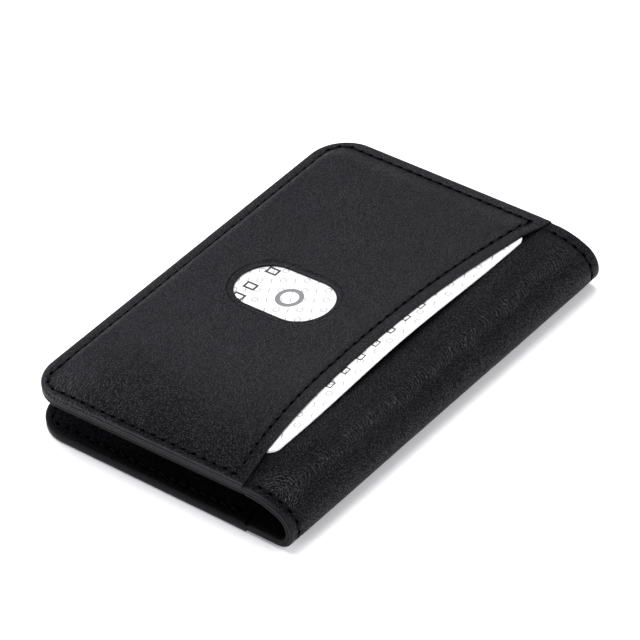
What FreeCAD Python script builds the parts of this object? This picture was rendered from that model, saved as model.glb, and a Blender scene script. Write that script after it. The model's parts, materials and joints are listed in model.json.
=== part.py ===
import FreeCAD, Part
import math
import os

import Sketcher
from FreeCAD import Placement, Rotation, Vector

# A folding leather card holder lying closed on its back.
# Row frame: +X from the open edge towards the fold, +Y along the fold, +Z up, millimetres.
# The origin is the centre of the footprint on the resting face.

doc = FreeCAD.newDocument("card_holder")

# ---------------------------------------------------------------- driving dimensions

sheet = doc.addObject("Spreadsheet::Sheet", "Dimensions")

DIMENSIONS = [
    ("holder_width", 70.4, "open edge to the outermost point of the fold"),
    ("holder_length", 103.2, "along the fold"),
    ("corner_radius", 9.0, "rounded corners at the open edge"),
    ("cover_leather", 0.65, "outer cover"),
    ("pocket_leather", 0.65, "outer pocket panels"),
    ("lining_leather", 0.5, "facing inside the cover"),
    ("fold_lining_leather", 1.15, "facing inside the fold"),
    ("inner_leather", 0.55, "inner pocket panels"),
    ("glue_line", 0.05, "clearance between two layers"),
    ("low_fold_radius", 4.0, "outside of the fold, lower part"),
    ("low_fold_turn", 75.0, "degrees turned at the end of the lower part"),
    ("high_fold_radius", 5.3, "outside of the fold, upper part"),
    ("high_fold_turn", 152.0, "degrees turned at the end of the upper part"),
    ("shoulder_radius", 18.0, "slack shoulder between the fold and the front"),
    ("front_droop", 0.8, "degrees by which the front hangs towards its open edge"),
    ("hinge_relief", 0.2, "slit between two neighbouring sections of one leather"),
    ("mouth_end", 58.2, "open edge to the corners of a pocket mouth"),
    ("mouth_sag", 4.9, "depth of the curved mouth"),
    ("stitch_inset", 2.5, "edge to the middle of the stitch row"),
    ("mouth_stitch_inset", 2.8, "mouth to the middle of its stitch row"),
    ("stitch_corner", 4.5, "radius of the stitch row at a corner"),
    ("stitch_pitch", 2.68, "along a row"),
    ("stitch_length", 1.9, "one stitch"),
    ("thread_width", 0.5, "one stitch"),
    ("thread_height", 0.26, "one stitch above the leather it lies on"),
    ("groove_width", 0.8, "stitch groove"),
    ("groove_depth", 0.3, "stitch groove"),
    ("card_length", 85.6, "identity card size, along the fold"),
    ("card_width", 54.0, "identity card size, across"),
    ("card_thickness", 0.76, "identity card size"),
    ("card_corner", 3.18, "identity card size"),
    ("card_inset", 3.15, "open edge to the card"),
    ("card_offset", 1.9, "card to the middle of the pocket, along the fold"),
    ("card_room", 0.9, "height of the space the card lies in"),
    ("puff_inset", 2.85, "edge to the raised part of the front pocket, open edge side"),
    ("puff_end_inset", 3.4, "edge to the raised part of the front pocket, at its ends"),
    ("puff_wall", 0.25, "leather beside the card at the open edge"),
    ("puff_round", 0.45, "rounding of the raised part"),
    ("window_middle", 27.1, "open edge to the middle of the thumb window"),
    ("window_shift", 0.55, "thumb window to the middle of the pocket, along the fold"),
    ("window_long", 23.6, "thumb window, across the holder"),
    ("window_short", 14.25, "thumb window, along the fold"),
    ("crease_offset", 1.3, "window edge to its pressed crease"),
    ("crease_width", 0.4, "pressed crease"),
    ("crease_depth", 0.2, "pressed crease"),
    ("board_inset", 5.0, "edge to the stiffening board"),
    ("board_end", 53.0, "open edge to the far side of the board"),
    ("board_thickness", 0.25, "stiffening board"),
    ("board_corner", 4.0, "stiffening board"),
]

for row, (alias, value, meaning) in enumerate(DIMENSIONS, start=1):
    sheet.set(f"A{row}", meaning)
    sheet.set(f"B{row}", str(value))
    sheet.setAlias(f"B{row}", alias)
doc.recompute()

size = {alias: float(sheet.get(alias)) for alias, _, _ in DIMENSIONS}
half_length = size["holder_length"] / 2


def cell(alias):
    """Expression text that reads one driving dimension."""
    return f"Dimensions.{alias}"


# ---------------------------------------------------------------- the outside of the fold
# Seen along +Y the cover's outside runs flat, turns up and over the fold, then slopes off
# along the front. "turn" is the angle it has turned from the flat back: 0 to 180.8 degrees.


def on_arc(centre, radius, turn):
    """(x, z) on an arc of the fold."""
    angle = math.radians(turn)
    return (centre[0] + radius * math.sin(angle), centre[1] - radius * math.cos(angle))


def arc_centre(point, radius, turn):
    """Centre of the arc that passes through point with that turn."""
    angle = math.radians(turn)
    return (point[0] - radius * math.sin(angle), point[1] + radius * math.cos(angle))


low_turn = size["low_fold_turn"]
high_turn = size["high_fold_turn"]
front_turn = 180 + size["front_droop"]
open_x = -size["holder_width"] / 2
fold_x = size["holder_width"] / 2

low_bulge = size["low_fold_radius"] * math.sin(math.radians(low_turn))
high_bulge = size["high_fold_radius"] * (1 - math.sin(math.radians(low_turn)))
low_centre = (fold_x - low_bulge - high_bulge, size["pocket_leather"] + size["low_fold_radius"])
low_end = on_arc(low_centre, size["low_fold_radius"], low_turn)
high_centre = arc_centre(low_end, size["high_fold_radius"], low_turn)
high_end = on_arc(high_centre, size["high_fold_radius"], high_turn)
shoulder_centre = arc_centre(high_end, size["shoulder_radius"], high_turn)
front_start = on_arc(shoulder_centre, size["shoulder_radius"], front_turn)

droop = math.radians(size["front_droop"])
back_flat = low_centre[0] - open_x
front_flat = (front_start[0] - open_x) / math.cos(droop)
front_open_z = front_start[1] - front_flat * math.sin(droop)

# Panels are drawn lying flat: x from the open edge, z outwards from the cover's outside.
# The front is turned by the droop; the back is turned over about X, so it faces down.
FRONT = Placement(Vector(open_x, 0, front_open_z), Rotation(Vector(0, 1, 0), -size["front_droop"]))
BACK = Placement(Vector(open_x, 0, size["pocket_leather"]), Rotation(Vector(1, 0, 0), 180))


def tangent_corner(point_a, turn_a, point_b, turn_b):
    """(x, z) where the tangents of the fold at two turns meet: the axis of one hinge."""
    ax, az = math.cos(math.radians(turn_a)), math.sin(math.radians(turn_a))
    bx, bz = math.cos(math.radians(turn_b)), math.sin(math.radians(turn_b))
    dx, dz = point_b[0] - point_a[0], point_b[1] - point_a[1]
    along = (dx * bz - dz * bx) / (ax * bz - az * bx)
    return (point_a[0] + along * ax, point_a[1] + along * az)


def fold_point(turn):
    """(x, z) on the outside of the fold."""
    if turn <= low_turn:
        return on_arc(low_centre, size["low_fold_radius"], turn)
    if turn <= high_turn:
        return on_arc(high_centre, size["high_fold_radius"], turn)
    return on_arc(shoulder_centre, size["shoulder_radius"], turn)


# Four hinges share the half turn, and each takes up the same part of it.
HINGE_TURNS = [0, 45, 90, 135, front_turn]
hinge_axes = [
    tangent_corner(fold_point(first), first, fold_point(last), last)
    for first, last in zip(HINGE_TURNS, HINGE_TURNS[1:])
]


def turn_under(axis):
    """The turn at which the line from an arc's centre through a hinge axis crosses the outside."""
    for centre, top in ((low_centre, low_turn), (high_centre, high_turn), (shoulder_centre, 181)):
        turn = math.degrees(math.atan2(axis[0] - centre[0], centre[1] - axis[1])) % 360
        if turn <= top:
            return turn


cuts = [turn_under(axis) for axis in hinge_axes]

# ---------------------------------------------------------------- paths along the leather
# A path starts at (x, z) with a heading in degrees and bends clockwise. Each leg is a pair
# (radius, amount): a straight leg has radius 0 and a length, a bent leg turns by degrees.


def walk(start, heading, legs):
    """[(point, heading before, radius, amount), ...] for each leg, plus the end state."""
    states = []
    x, z = start
    for radius, amount in legs:
        states.append(((x, z), heading, radius, amount))
        angle = math.radians(heading)
        if radius == 0:
            x += amount * math.cos(angle)
            z += amount * math.sin(angle)
        else:
            after = math.radians(heading - amount)
            x += radius * (math.sin(angle) - math.sin(after))
            z += radius * (math.cos(after) - math.cos(angle))
            heading -= amount
    states.append(((x, z), heading, 0, 0))
    return states


def shifted(point, heading, depth):
    """The point at a depth inside the outside surface."""
    angle = math.radians(heading)
    return Vector(point[0] + depth * math.sin(angle), point[1] - depth * math.cos(angle), 0)


def band_outline(start, heading, legs, near_depth, far_depth):
    """Closed outline of one leather layer between two depths along a path."""
    states = walk(start, heading, legs)
    sides = []
    for depth in (near_depth, far_depth):
        side = []
        for (point, before, radius, amount), (after_point, after, _, _) in zip(states, states[1:]):
            first = shifted(point, before, depth)
            last = shifted(after_point, after, depth)
            if radius == 0:
                side.append(Part.LineSegment(first, last))
                continue
            half = walk(point, before, [(radius, amount / 2)])[1]
            side.append(Part.Arc(first, shifted(half[0], half[1], depth), last))
        sides.append(side)
    outer, inner = sides
    caps = [
        Part.LineSegment(shifted(*states[-1][:2], near_depth), shifted(*states[-1][:2], far_depth)),
        Part.LineSegment(shifted(*states[0][:2], far_depth), shifted(*states[0][:2], near_depth)),
    ]
    return outer + [caps[0]] + inner[::-1] + [caps[1]]


# ---------------------------------------------------------------- drawing helpers


def new_body(label, placement):
    """An empty body in place."""
    body = doc.addObject("PartDesign::Body", label)
    body.Label = label
    body.Placement = placement
    return body


def new_sketch(body, name, role, offset=0.0):
    """A sketch on one of the body's own origin planes, moved off it along its normal."""
    sketch = body.newObject("Sketcher::SketchObject", name)
    plane = [item for item in body.Origin.OriginFeatures if item.Role == role][0]
    sketch.AttachmentSupport = [(plane, "")]
    sketch.MapMode = "FlatFace"
    sketch.AttachmentOffset = Placement(Vector(0, 0, offset), Rotation())
    return sketch


def hold(sketch, geometry, end, x_text, y_text):
    """Holds one end point of a line or arc at two expressions."""
    point = sketch.getPoint(geometry, end)
    for kind, value, text in (("DistanceX", point.x, x_text), ("DistanceY", point.y, y_text)):
        index = sketch.addConstraint(Sketcher.Constraint(kind, -1, 1, geometry, end, value))
        sketch.setExpression(f"Constraints[{index}]", text)


def hold_radius(sketch, geometry, text):
    """Holds the radius of an arc at an expression."""
    radius = sketch.Geometry[geometry].Radius
    index = sketch.addConstraint(Sketcher.Constraint("Radius", geometry, radius))
    sketch.setExpression(f"Constraints[{index}]", text)


def add_outline(sketch, pieces):
    """Adds the pieces of a closed outline and joins each to the next at the ends that meet."""
    first = sketch.GeometryCount
    sketch.addGeometry(pieces)
    numbers = list(range(first, first + len(pieces)))
    for number, after in zip(numbers, numbers[1:] + numbers[:1]):
        gap, end, after_end = min(
            (sketch.getPoint(number, a).distanceToPoint(sketch.getPoint(after, b)), a, b)
            for a in (1, 2)
            for b in (1, 2)
        )
        if gap > 1e-6:
            raise ValueError(f"{sketch.Label}: outline is open by {gap:.4f} mm")
        sketch.addConstraint(Sketcher.Constraint("Coincident", number, end, after, after_end))
    return first


def pad(body, sketch, name, length_text, both_sides=False, backwards=False):
    """A pad whose length is an expression."""
    feature = body.newObject("PartDesign::Pad", name)
    feature.Profile = sketch
    feature.setExpression("Length", length_text)
    feature.Midplane = both_sides
    feature.Reversed = backwards
    return feature


def cut(body, sketch, name, length_text, backwards=False):
    """A pocket whose depth is an expression; stops if it takes nothing away."""
    doc.recompute()
    before = body.Shape.Volume
    feature = body.newObject("PartDesign::Pocket", name)
    feature.Profile = sketch
    feature.setExpression("Length", length_text)
    feature.Reversed = backwards
    body.Tip = feature
    doc.recompute()
    if body.Shape.Volume > before - 0.01:
        raise ValueError(f"{body.Label}: {name} removes nothing")
    return feature


def upright_edges(shape, x_low, x_high):
    """Names of the straight edges along Z between two x positions."""
    names = []
    for number, edge in enumerate(shape.Edges, start=1):
        ends = [vertex.Point for vertex in edge.Vertexes]
        if len(ends) != 2:
            continue
        upright = abs(ends[0].x - ends[1].x) + abs(ends[0].y - ends[1].y) < 1e-6
        if upright and x_low < ends[0].x < x_high:
            names.append(f"Edge{number}")
    return names


def round_edges(body, base, names, name, radius_text):
    """Rounds the named edges of a feature."""
    feature = body.newObject("PartDesign::Fillet", name)
    feature.Base = (base, names)
    feature.setExpression("Radius", radius_text)
    return feature


# ---------------------------------------------------------------- pocket panels

MOUTH_RADIUS_TEXT = (
    f"({cell('holder_length')} * {cell('holder_length')} / 4"
    f" + {cell('mouth_sag')} * {cell('mouth_sag')}) / (2 * {cell('mouth_sag')})"
)
mouth_radius = (half_length**2 + size["mouth_sag"] ** 2) / (2 * size["mouth_sag"])
mouth_centre_x = size["mouth_end"] - size["mouth_sag"] + mouth_radius


def mouth_x(y, radius=mouth_radius):
    """x of the curved mouth, or of a line parallel to it, at y."""
    return mouth_centre_x - math.sqrt(radius**2 - y**2)


def panel_outline(sketch):
    """Pocket panel: rounded at the open edge, with a mouth that curves in at the fold side."""
    end, corner = size["mouth_end"], size["corner_radius"]
    slant = corner * (1 - math.sqrt(0.5))
    low, high = -half_length, half_length
    add_outline(
        sketch,
        [
            Part.LineSegment(Vector(end, high, 0), Vector(corner, high, 0)),
            Part.Arc(Vector(corner, high, 0), Vector(slant, high - slant, 0), Vector(0, high - corner, 0)),
            Part.LineSegment(Vector(0, high - corner, 0), Vector(0, low + corner, 0)),
            Part.Arc(Vector(0, low + corner, 0), Vector(slant, low + slant, 0), Vector(corner, low, 0)),
            Part.LineSegment(Vector(corner, low, 0), Vector(end, low, 0)),
            Part.Arc(Vector(end, low, 0), Vector(mouth_x(0), 0, 0), Vector(end, high, 0)),
        ],
    )
    top, radius = f"{cell('holder_length')} / 2", cell("corner_radius")
    hold(sketch, 0, 1, cell("mouth_end"), top)
    hold(sketch, 0, 2, radius, top)
    hold(sketch, 2, 1, "0", f"{top} - {radius}")
    hold(sketch, 2, 2, "0", f"{radius} - {top}")
    hold(sketch, 4, 1, radius, f"-{top}")
    hold(sketch, 4, 2, cell("mouth_end"), f"-{top}")
    hold_radius(sketch, 1, radius)
    hold_radius(sketch, 3, radius)
    hold_radius(sketch, 5, MOUTH_RADIUS_TEXT)


def ring_side(inset, corner, mouth_inset):
    """One side of the stitch groove, as the pieces of a closed outline parallel to the edges."""
    high = half_length - inset
    left = inset
    bend = corner * (1 - math.sqrt(0.5))
    radius = mouth_radius + mouth_inset
    fold_side = mouth_x(high, radius)
    return [
        Part.LineSegment(Vector(fold_side, high, 0), Vector(left + corner, high, 0)),
        Part.Arc(
            Vector(left + corner, high, 0),
            Vector(left + bend, high - bend, 0),
            Vector(left, high - corner, 0),
        ),
        Part.LineSegment(Vector(left, high - corner, 0), Vector(left, corner - high, 0)),
        Part.Arc(
            Vector(left, corner - high, 0),
            Vector(left + bend, bend - high, 0),
            Vector(left + corner, -high, 0),
        ),
        Part.LineSegment(Vector(left + corner, -high, 0), Vector(fold_side, -high, 0)),
        Part.Arc(
            Vector(fold_side, -high, 0),
            Vector(mouth_centre_x - radius, 0, 0),
            Vector(fold_side, high, 0),
        ),
    ]


def cut_stitch_groove(body, face_height):
    """A shallow groove all round the panel, parallel to its edges and its mouth."""
    half = size["groove_width"] / 2
    sketch = new_sketch(body, "StitchGroove", "XY_Plane", face_height)
    for side in (-half, half):
        inset = size["stitch_inset"] + side
        corner = size["stitch_corner"] - side
        add_outline(sketch, ring_side(inset, corner, size["mouth_stitch_inset"] + side))
    cut(body, sketch, "StitchGrooveCut", cell("groove_depth"))


def plain_pocket(label, placement, height, thickness_alias, outer):
    """A flat pocket panel whose underside is at a height in the panel's own frame."""
    body = new_body(label, placement)
    sketch = new_sketch(body, "Outline", "XY_Plane", height)
    panel_outline(sketch)
    body.Tip = pad(body, sketch, "Panel", cell(thickness_alias))
    if outer:
        cut_stitch_groove(body, height + size[thickness_alias])
    return body


def rounded_box_outline(x_low, x_high, y_low, y_high, corner):
    """Pieces of a closed rectangle rounded at its low-x corners only."""
    bend = corner * (1 - math.sqrt(0.5))
    return [
        Part.LineSegment(Vector(x_high, y_high, 0), Vector(x_low + corner, y_high, 0)),
        Part.Arc(
            Vector(x_low + corner, y_high, 0),
            Vector(x_low + bend, y_high - bend, 0),
            Vector(x_low, y_high - corner, 0),
        ),
        Part.LineSegment(Vector(x_low, y_high - corner, 0), Vector(x_low, y_low + corner, 0)),
        Part.Arc(
            Vector(x_low, y_low + corner, 0),
            Vector(x_low + bend, y_low + bend, 0),
            Vector(x_low + corner, y_low, 0),
        ),
        Part.LineSegment(Vector(x_low + corner, y_low, 0), Vector(x_high, y_low, 0)),
        Part.LineSegment(Vector(x_high, y_low, 0), Vector(x_high, y_high, 0)),
    ]


def puff_outline(sketch):
    """The raised part over the card, which runs out through the mouth."""
    high = half_length - size["puff_end_inset"]
    reach = mouth_x(high)
    outline = rounded_box_outline(size["puff_inset"], reach, -high, high, size["stitch_corner"])
    outline[5] = Part.Arc(Vector(reach, -high, 0), Vector(mouth_x(0), 0, 0), Vector(reach, high, 0))
    add_outline(sketch, outline)


def mouth_groove_outline(sketch):
    """The stitch groove beside the mouth, from one end of the raised part to the other."""
    high = half_length - size["puff_end_inset"] - size["puff_round"] - 0.1
    corners = []
    arcs = []
    for side in (-size["groove_width"] / 2, size["groove_width"] / 2):
        radius = mouth_radius + size["mouth_stitch_inset"] + side
        low_end = Vector(mouth_x(high, radius), -high, 0)
        high_end = Vector(mouth_x(high, radius), high, 0)
        arcs.append(Part.Arc(low_end, Vector(mouth_centre_x - radius, 0, 0), high_end))
        corners.append((low_end, high_end))
    (right_low, right_high), (left_low, left_high) = corners
    add_outline(
        sketch,
        [
            arcs[0],
            Part.LineSegment(right_high, left_high),
            arcs[1],
            Part.LineSegment(left_low, right_low),
        ],
    )


def slot_outline(sketch, offset):
    """The thumb window, or a line at an offset outside it."""
    radius = size["window_short"] / 2 + offset
    reach = (size["window_long"] - size["window_short"]) / 2
    middle, shift = size["window_middle"], size["window_shift"]
    left, right = middle - reach, middle + reach
    first = add_outline(
        sketch,
        [
            Part.LineSegment(Vector(left, shift - radius, 0), Vector(right, shift - radius, 0)),
            Part.Arc(
                Vector(right, shift - radius, 0),
                Vector(right + radius, shift, 0),
                Vector(right, shift + radius, 0),
            ),
            Part.LineSegment(Vector(right, shift + radius, 0), Vector(left, shift + radius, 0)),
            Part.Arc(
                Vector(left, shift + radius, 0),
                Vector(left - radius, shift, 0),
                Vector(left, shift - radius, 0),
            ),
        ],
    )
    extra = f" + {offset}" if offset else ""
    hold_radius(sketch, first + 1, f"{cell('window_short')} / 2{extra}")
    hold_radius(sketch, first + 3, f"{cell('window_short')} / 2{extra}")


def window_pocket(label, placement):
    """Front pocket: a flat sewn rim, a raised part over the card and a thumb window."""
    body = new_body(label, placement)
    top = size["pocket_leather"] + size["card_room"]
    rim = new_sketch(body, "Outline", "XY_Plane")
    panel_outline(rim)
    body.Tip = pad(body, rim, "Rim", cell("pocket_leather"))
    cut_stitch_groove(body, size["pocket_leather"])

    raised = new_sketch(body, "Raised", "XY_Plane")
    puff_outline(raised)
    puff = pad(body, raised, "Puff", f"{cell('pocket_leather')} + {cell('card_room')}")
    doc.recompute()
    fold_side = mouth_x(half_length - size["puff_end_inset"]) - 0.01
    names = []
    for number, edge in enumerate(puff.Shape.Edges, start=1):
        ends = [vertex.Point for vertex in edge.Vertexes]
        at_top = all(abs(point.z - top) < 1e-6 for point in ends)
        at_mouth = all(point.x > fold_side for point in ends)
        if at_top and not at_mouth:
            names.append(f"Edge{number}")
    rounded = round_edges(body, puff, names, "PuffRound", cell("puff_round"))

    space = new_sketch(body, "CardSpace", "XY_Plane")
    reach = half_length - size["puff_end_inset"] - size["pocket_leather"]
    start = size["puff_inset"] + size["puff_wall"]
    corner = size["card_corner"]
    add_outline(space, rounded_box_outline(start, size["mouth_end"] + 5, -reach, reach, corner))
    body.Tip = rounded
    cut(body, space, "CardSpaceCut", cell("card_room"), backwards=True)

    window = new_sketch(body, "Window", "XY_Plane")
    slot_outline(window, 0)
    cut(body, window, "WindowCut", f"2 * ({cell('pocket_leather')} + {cell('card_room')})", True)

    crease = new_sketch(body, "Crease", "XY_Plane", top)
    slot_outline(crease, size["crease_offset"])
    slot_outline(crease, size["crease_offset"] + size["crease_width"])
    cut(body, crease, "CreaseCut", cell("crease_depth"))

    groove = new_sketch(body, "MouthGroove", "XY_Plane", top)
    mouth_groove_outline(groove)
    cut(body, groove, "MouthGrooveCut", cell("groove_depth"))
    return body


# ---------------------------------------------------------------- cover, facing, boards


def band(label, placement, path, depths, corner_text=None):
    """One section of a leather layer that runs along a path, as wide as the holder is long."""
    start, heading, legs = path
    body = new_body(label, placement)
    sketch = new_sketch(body, "Section", "XZ_Plane")
    add_outline(sketch, band_outline(start, heading, legs, *depths))
    strip = pad(body, sketch, "Strip", cell("holder_length"), both_sides=True)
    body.Tip = strip
    if corner_text:
        doc.recompute()
        names = upright_edges(strip.Shape, -0.01, 0.01)
        body.Tip = round_edges(body, strip, names, "Corners", corner_text)
    return body


def relief_turn(radius):
    """Half the slit between two sections, as degrees on an arc."""
    return math.degrees(size["hinge_relief"] / 2 / radius)


def legs_between(first, last):
    """Bent legs of the fold from one cut's turn down to another's, less the slits."""
    bends = [
        (size["shoulder_radius"], high_turn, front_turn),
        (size["high_fold_radius"], low_turn, high_turn),
        (size["low_fold_radius"], 0, low_turn),
    ]
    legs = []
    for radius, low, high in bends:
        top, bottom = min(first, high), max(last, low)
        if top > bottom:
            legs.append((radius, top - bottom))
    return legs


def radius_at(turn):
    """Radius of the outside of the fold at a turn."""
    if turn <= low_turn:
        return size["low_fold_radius"]
    return size["high_fold_radius"] if turn <= high_turn else size["shoulder_radius"]


def strip_path(upper, lower):
    """Path of a fold section between two cuts, in the row frame."""
    first = upper - relief_turn(radius_at(upper))
    last = lower + relief_turn(radius_at(lower))
    return (fold_point(first), first - 180, legs_between(first, last))


front_cut = cuts[3] + relief_turn(size["shoulder_radius"])
back_cut = cuts[0] - relief_turn(size["low_fold_radius"])
front_path = ((0, 0), 0, [(0, front_flat), (size["shoulder_radius"], front_turn - front_cut)])
back_path = ((0, 0), 0, [(0, back_flat), (size["low_fold_radius"], back_cut)])
IN_PLACE = Placement()
SECTIONS = {"high": (cuts[3], cuts[2]), "mid": (cuts[2], cuts[1]), "low": (cuts[1], cuts[0])}

cover_depths = (0, size["cover_leather"])
lining_top = size["cover_leather"] + size["glue_line"]
lining_depths = (lining_top, lining_top + size["lining_leather"])
fold_lining_depths = (lining_top, lining_top + size["fold_lining_leather"])
inner_height = -(lining_depths[1] + size["glue_line"] + size["inner_leather"])


def lined_panel(label, placement, path):
    """Facing of one half, hollowed on its glued side for the board."""
    body = band(label, placement, path, lining_depths, cell("corner_radius"))
    sketch = new_sketch(body, "BoardSeat", "XY_Plane", -lining_top)
    margin = 0.3
    x_low, x_high = size["board_inset"] - margin, size["board_end"] + margin
    reach = half_length - size["board_inset"] + margin
    corner = size["board_corner"] + margin
    add_outline(sketch, rounded_box_outline(x_low, x_high, -reach, reach, corner))
    cut(body, sketch, "BoardSeatCut", f"{cell('board_thickness')} + {cell('glue_line')}")
    return body


def stiffener(label, placement):
    """Thin board between the cover and the facing of one half."""
    body = new_body(label, placement)
    sketch = new_sketch(body, "Outline", "XY_Plane", -lining_top)
    reach = half_length - size["board_inset"]
    outline = rounded_box_outline(
        size["board_inset"], size["board_end"], -reach, reach, size["board_corner"]
    )
    add_outline(sketch, outline)
    body.Tip = pad(body, sketch, "Board", cell("board_thickness"), backwards=True)
    return body


def insert_card(label, placement):
    """Plastic card of the usual identity card size, lying in the front pocket."""
    body = new_body(label, placement)
    clearance = (size["card_room"] - size["card_thickness"]) / 2
    sketch = new_sketch(body, "Outline", "XY_Plane", clearance)
    low = size["card_offset"] - size["card_length"] / 2
    high = size["card_offset"] + size["card_length"] / 2
    left = size["card_inset"]
    right = left + size["card_width"]
    add_outline(
        sketch,
        [
            Part.LineSegment(Vector(left, low, 0), Vector(right, low, 0)),
            Part.LineSegment(Vector(right, low, 0), Vector(right, high, 0)),
            Part.LineSegment(Vector(right, high, 0), Vector(left, high, 0)),
            Part.LineSegment(Vector(left, high, 0), Vector(left, low, 0)),
        ],
    )
    low_text = f"{cell('card_offset')} - {cell('card_length')} / 2"
    high_text = f"{cell('card_offset')} + {cell('card_length')} / 2"
    right_text = f"{cell('card_inset')} + {cell('card_width')}"
    hold(sketch, 0, 1, cell("card_inset"), low_text)
    hold(sketch, 1, 1, right_text, low_text)
    hold(sketch, 2, 1, right_text, high_text)
    hold(sketch, 3, 1, cell("card_inset"), high_text)
    card = pad(body, sketch, "Card", cell("card_thickness"))
    doc.recompute()
    names = upright_edges(card.Shape, left - 1, right + 1)
    body.Tip = round_edges(body, card, names, "Corners", cell("card_corner"))
    return body


# ---------------------------------------------------------------- stitches


def one_stitch():
    """A short thread lying along X, rounded at both ends, standing on z = 0."""
    half = size["thread_width"] / 2
    straight = size["stitch_length"] / 2 - half
    outline = [
        Part.LineSegment(Vector(-straight, -half, 0), Vector(straight, -half, 0)),
        Part.Arc(
            Vector(straight, -half, 0), Vector(straight + half, 0, 0), Vector(straight, half, 0)
        ),
        Part.LineSegment(Vector(straight, half, 0), Vector(-straight, half, 0)),
        Part.Arc(
            Vector(-straight, half, 0), Vector(-straight - half, 0, 0), Vector(-straight, -half, 0)
        ),
    ]
    wire = Part.Wire([piece.toShape() for piece in outline])
    return Part.Face(wire).extrude(Vector(0, 0, size["thread_height"]))


STITCH = one_stitch()


def stitch_row(label, placement, places):
    """A row of separate stitches; each place is (position, direction, outward normal)."""
    solids = []
    for position, along, normal in places:
        side = normal.cross(along)
        turn = Rotation(along, side, normal, "ZXY")
        solid = STITCH.copy()
        solid.Placement = Placement(position, turn)
        solids.append(solid)
    feature = doc.addObject("Part::Feature", label)
    feature.Label = label
    feature.Shape = Part.makeCompound(solids)
    feature.Placement = placement
    return feature


def spaced(length):
    """Evenly spaced stitch middles along a length, at the pitch nearest the wanted one."""
    count = max(1, round(length / size["stitch_pitch"]))
    return [length * (number + 0.5) / count for number in range(count)]


def edge_places(z, normal):
    """Places along the sewn edge of a pocket panel: end, corner, open edge, corner, end."""
    inset, corner = size["stitch_inset"], size["stitch_corner"]
    high = half_length - inset
    fold_side = mouth_x(high, mouth_radius + size["mouth_stitch_inset"]) - 1.2
    straight = fold_side - inset - corner
    quarter = corner * math.pi / 2
    open_run = 2 * (high - corner)
    places = []
    for along in spaced(2 * straight + 2 * quarter + open_run):
        if along < straight:
            places.append((Vector(fold_side - along, high, z), Vector(-1, 0, 0), normal))
            continue
        along -= straight
        if along < quarter:
            angle = math.pi / 2 + along / corner
            x = inset + corner + corner * math.cos(angle)
            y = high - corner + corner * math.sin(angle)
            places.append((Vector(x, y, z), Vector(-math.sin(angle), math.cos(angle), 0), normal))
            continue
        along -= quarter
        if along < open_run:
            places.append((Vector(inset, high - corner - along, z), Vector(0, -1, 0), normal))
            continue
        along -= open_run
        if along < quarter:
            angle = math.pi + along / corner
            x = inset + corner + corner * math.cos(angle)
            y = corner - high + corner * math.sin(angle)
            places.append((Vector(x, y, z), Vector(-math.sin(angle), math.cos(angle), 0), normal))
            continue
        along -= quarter
        places.append((Vector(inset + corner + along, -high, z), Vector(1, 0, 0), normal))
    return places


def mouth_places(z, normal, end_inset):
    """Places along the stitch row beside a curved mouth, up to an inset from its ends."""
    radius = mouth_radius + size["mouth_stitch_inset"]
    reach = math.asin((half_length - end_inset) / radius)
    places = []
    for along in spaced(2 * reach * radius):
        angle = along / radius - reach
        position = Vector(mouth_centre_x - radius * math.cos(angle), radius * math.sin(angle), z)
        places.append((position, Vector(math.sin(angle), math.cos(angle), 0), normal))
    return places


def path_places(path, skip, lift):
    """Places along both ends of a cover section, from a distance along its path."""
    states = walk(*path)
    runs = []
    total = 0
    for point, before, radius, amount in states[:-1]:
        length = amount if radius == 0 else radius * math.radians(amount)
        runs.append((total, length, point, before, radius))
        total += length
    places = []
    for along in spaced(total - skip):
        distance = skip + along
        start, length, point, before, radius = [run for run in runs if run[0] <= distance][-1]
        part = distance - start
        leg = (0, part) if radius == 0 else (radius, math.degrees(part / radius))
        (x, z), heading, _, _ = walk(point, before, [leg])[1]
        angle = math.radians(heading)
        direction = Vector(math.cos(angle), 0, math.sin(angle))
        normal = Vector(-math.sin(angle), 0, math.cos(angle))
        for y in (-half_length + size["stitch_inset"], half_length - size["stitch_inset"]):
            places.append((Vector(x, y, z) + normal * lift, direction, normal))
    return places


# ---------------------------------------------------------------- the whole holder

OUT = Vector(0, 0, 1)
IN = Vector(0, 0, -1)
groove_floor = size["pocket_leather"] - size["groove_depth"] + 0.01
skip_pocket = size["mouth_end"] + 0.1
lift = 0.01
parts = []

raised_floor = groove_floor + size["card_room"]
sides = (
    ("front", FRONT, front_path, raised_floor, size["puff_end_inset"] + 0.8),
    ("back", BACK, back_path, groove_floor, size["stitch_inset"] + 0.2),
)

for side, placement, path, mouth_floor, end_inset in sides:
    parts.append(band(f"cover_{side}", placement, path, cover_depths, cell("corner_radius")))
    parts.append(lined_panel(f"lining_{side}", placement, path))
    parts.append(stiffener(f"stiffener_{side}", placement))
    parts.append(plain_pocket(f"inner_pocket_{side}", placement, inner_height, "inner_leather", False))
    outer_places = edge_places(groove_floor, OUT) + path_places(path, skip_pocket, lift)
    inner_places = edge_places(inner_height - lift, IN)
    parts.append(stitch_row(f"edge_stitching_{side}", placement, outer_places + inner_places))
    mouth = mouth_places(mouth_floor, OUT, end_inset)
    parts.append(stitch_row(f"mouth_stitching_{side}", placement, mouth))
    inner_mouth = mouth_places(inner_height - lift, IN, size["stitch_inset"] + 0.2)
    parts.append(stitch_row(f"inner_mouth_stitching_{side}", placement, inner_mouth))

parts.append(window_pocket("outer_pocket_front", FRONT))
parts.append(plain_pocket("outer_pocket_back", BACK, 0, "pocket_leather", True))
parts.append(insert_card("insert_card", FRONT))

for name, (upper, lower) in SECTIONS.items():
    path = strip_path(upper, lower)
    parts.append(band(f"cover_fold_{name}", IN_PLACE, path, cover_depths))
    parts.append(band(f"lining_fold_{name}", IN_PLACE, path, fold_lining_depths))
    parts.append(stitch_row(f"fold_stitching_{name}", IN_PLACE, path_places(path, 0, lift)))

# ---------------------------------------------------------------- check and write

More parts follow.
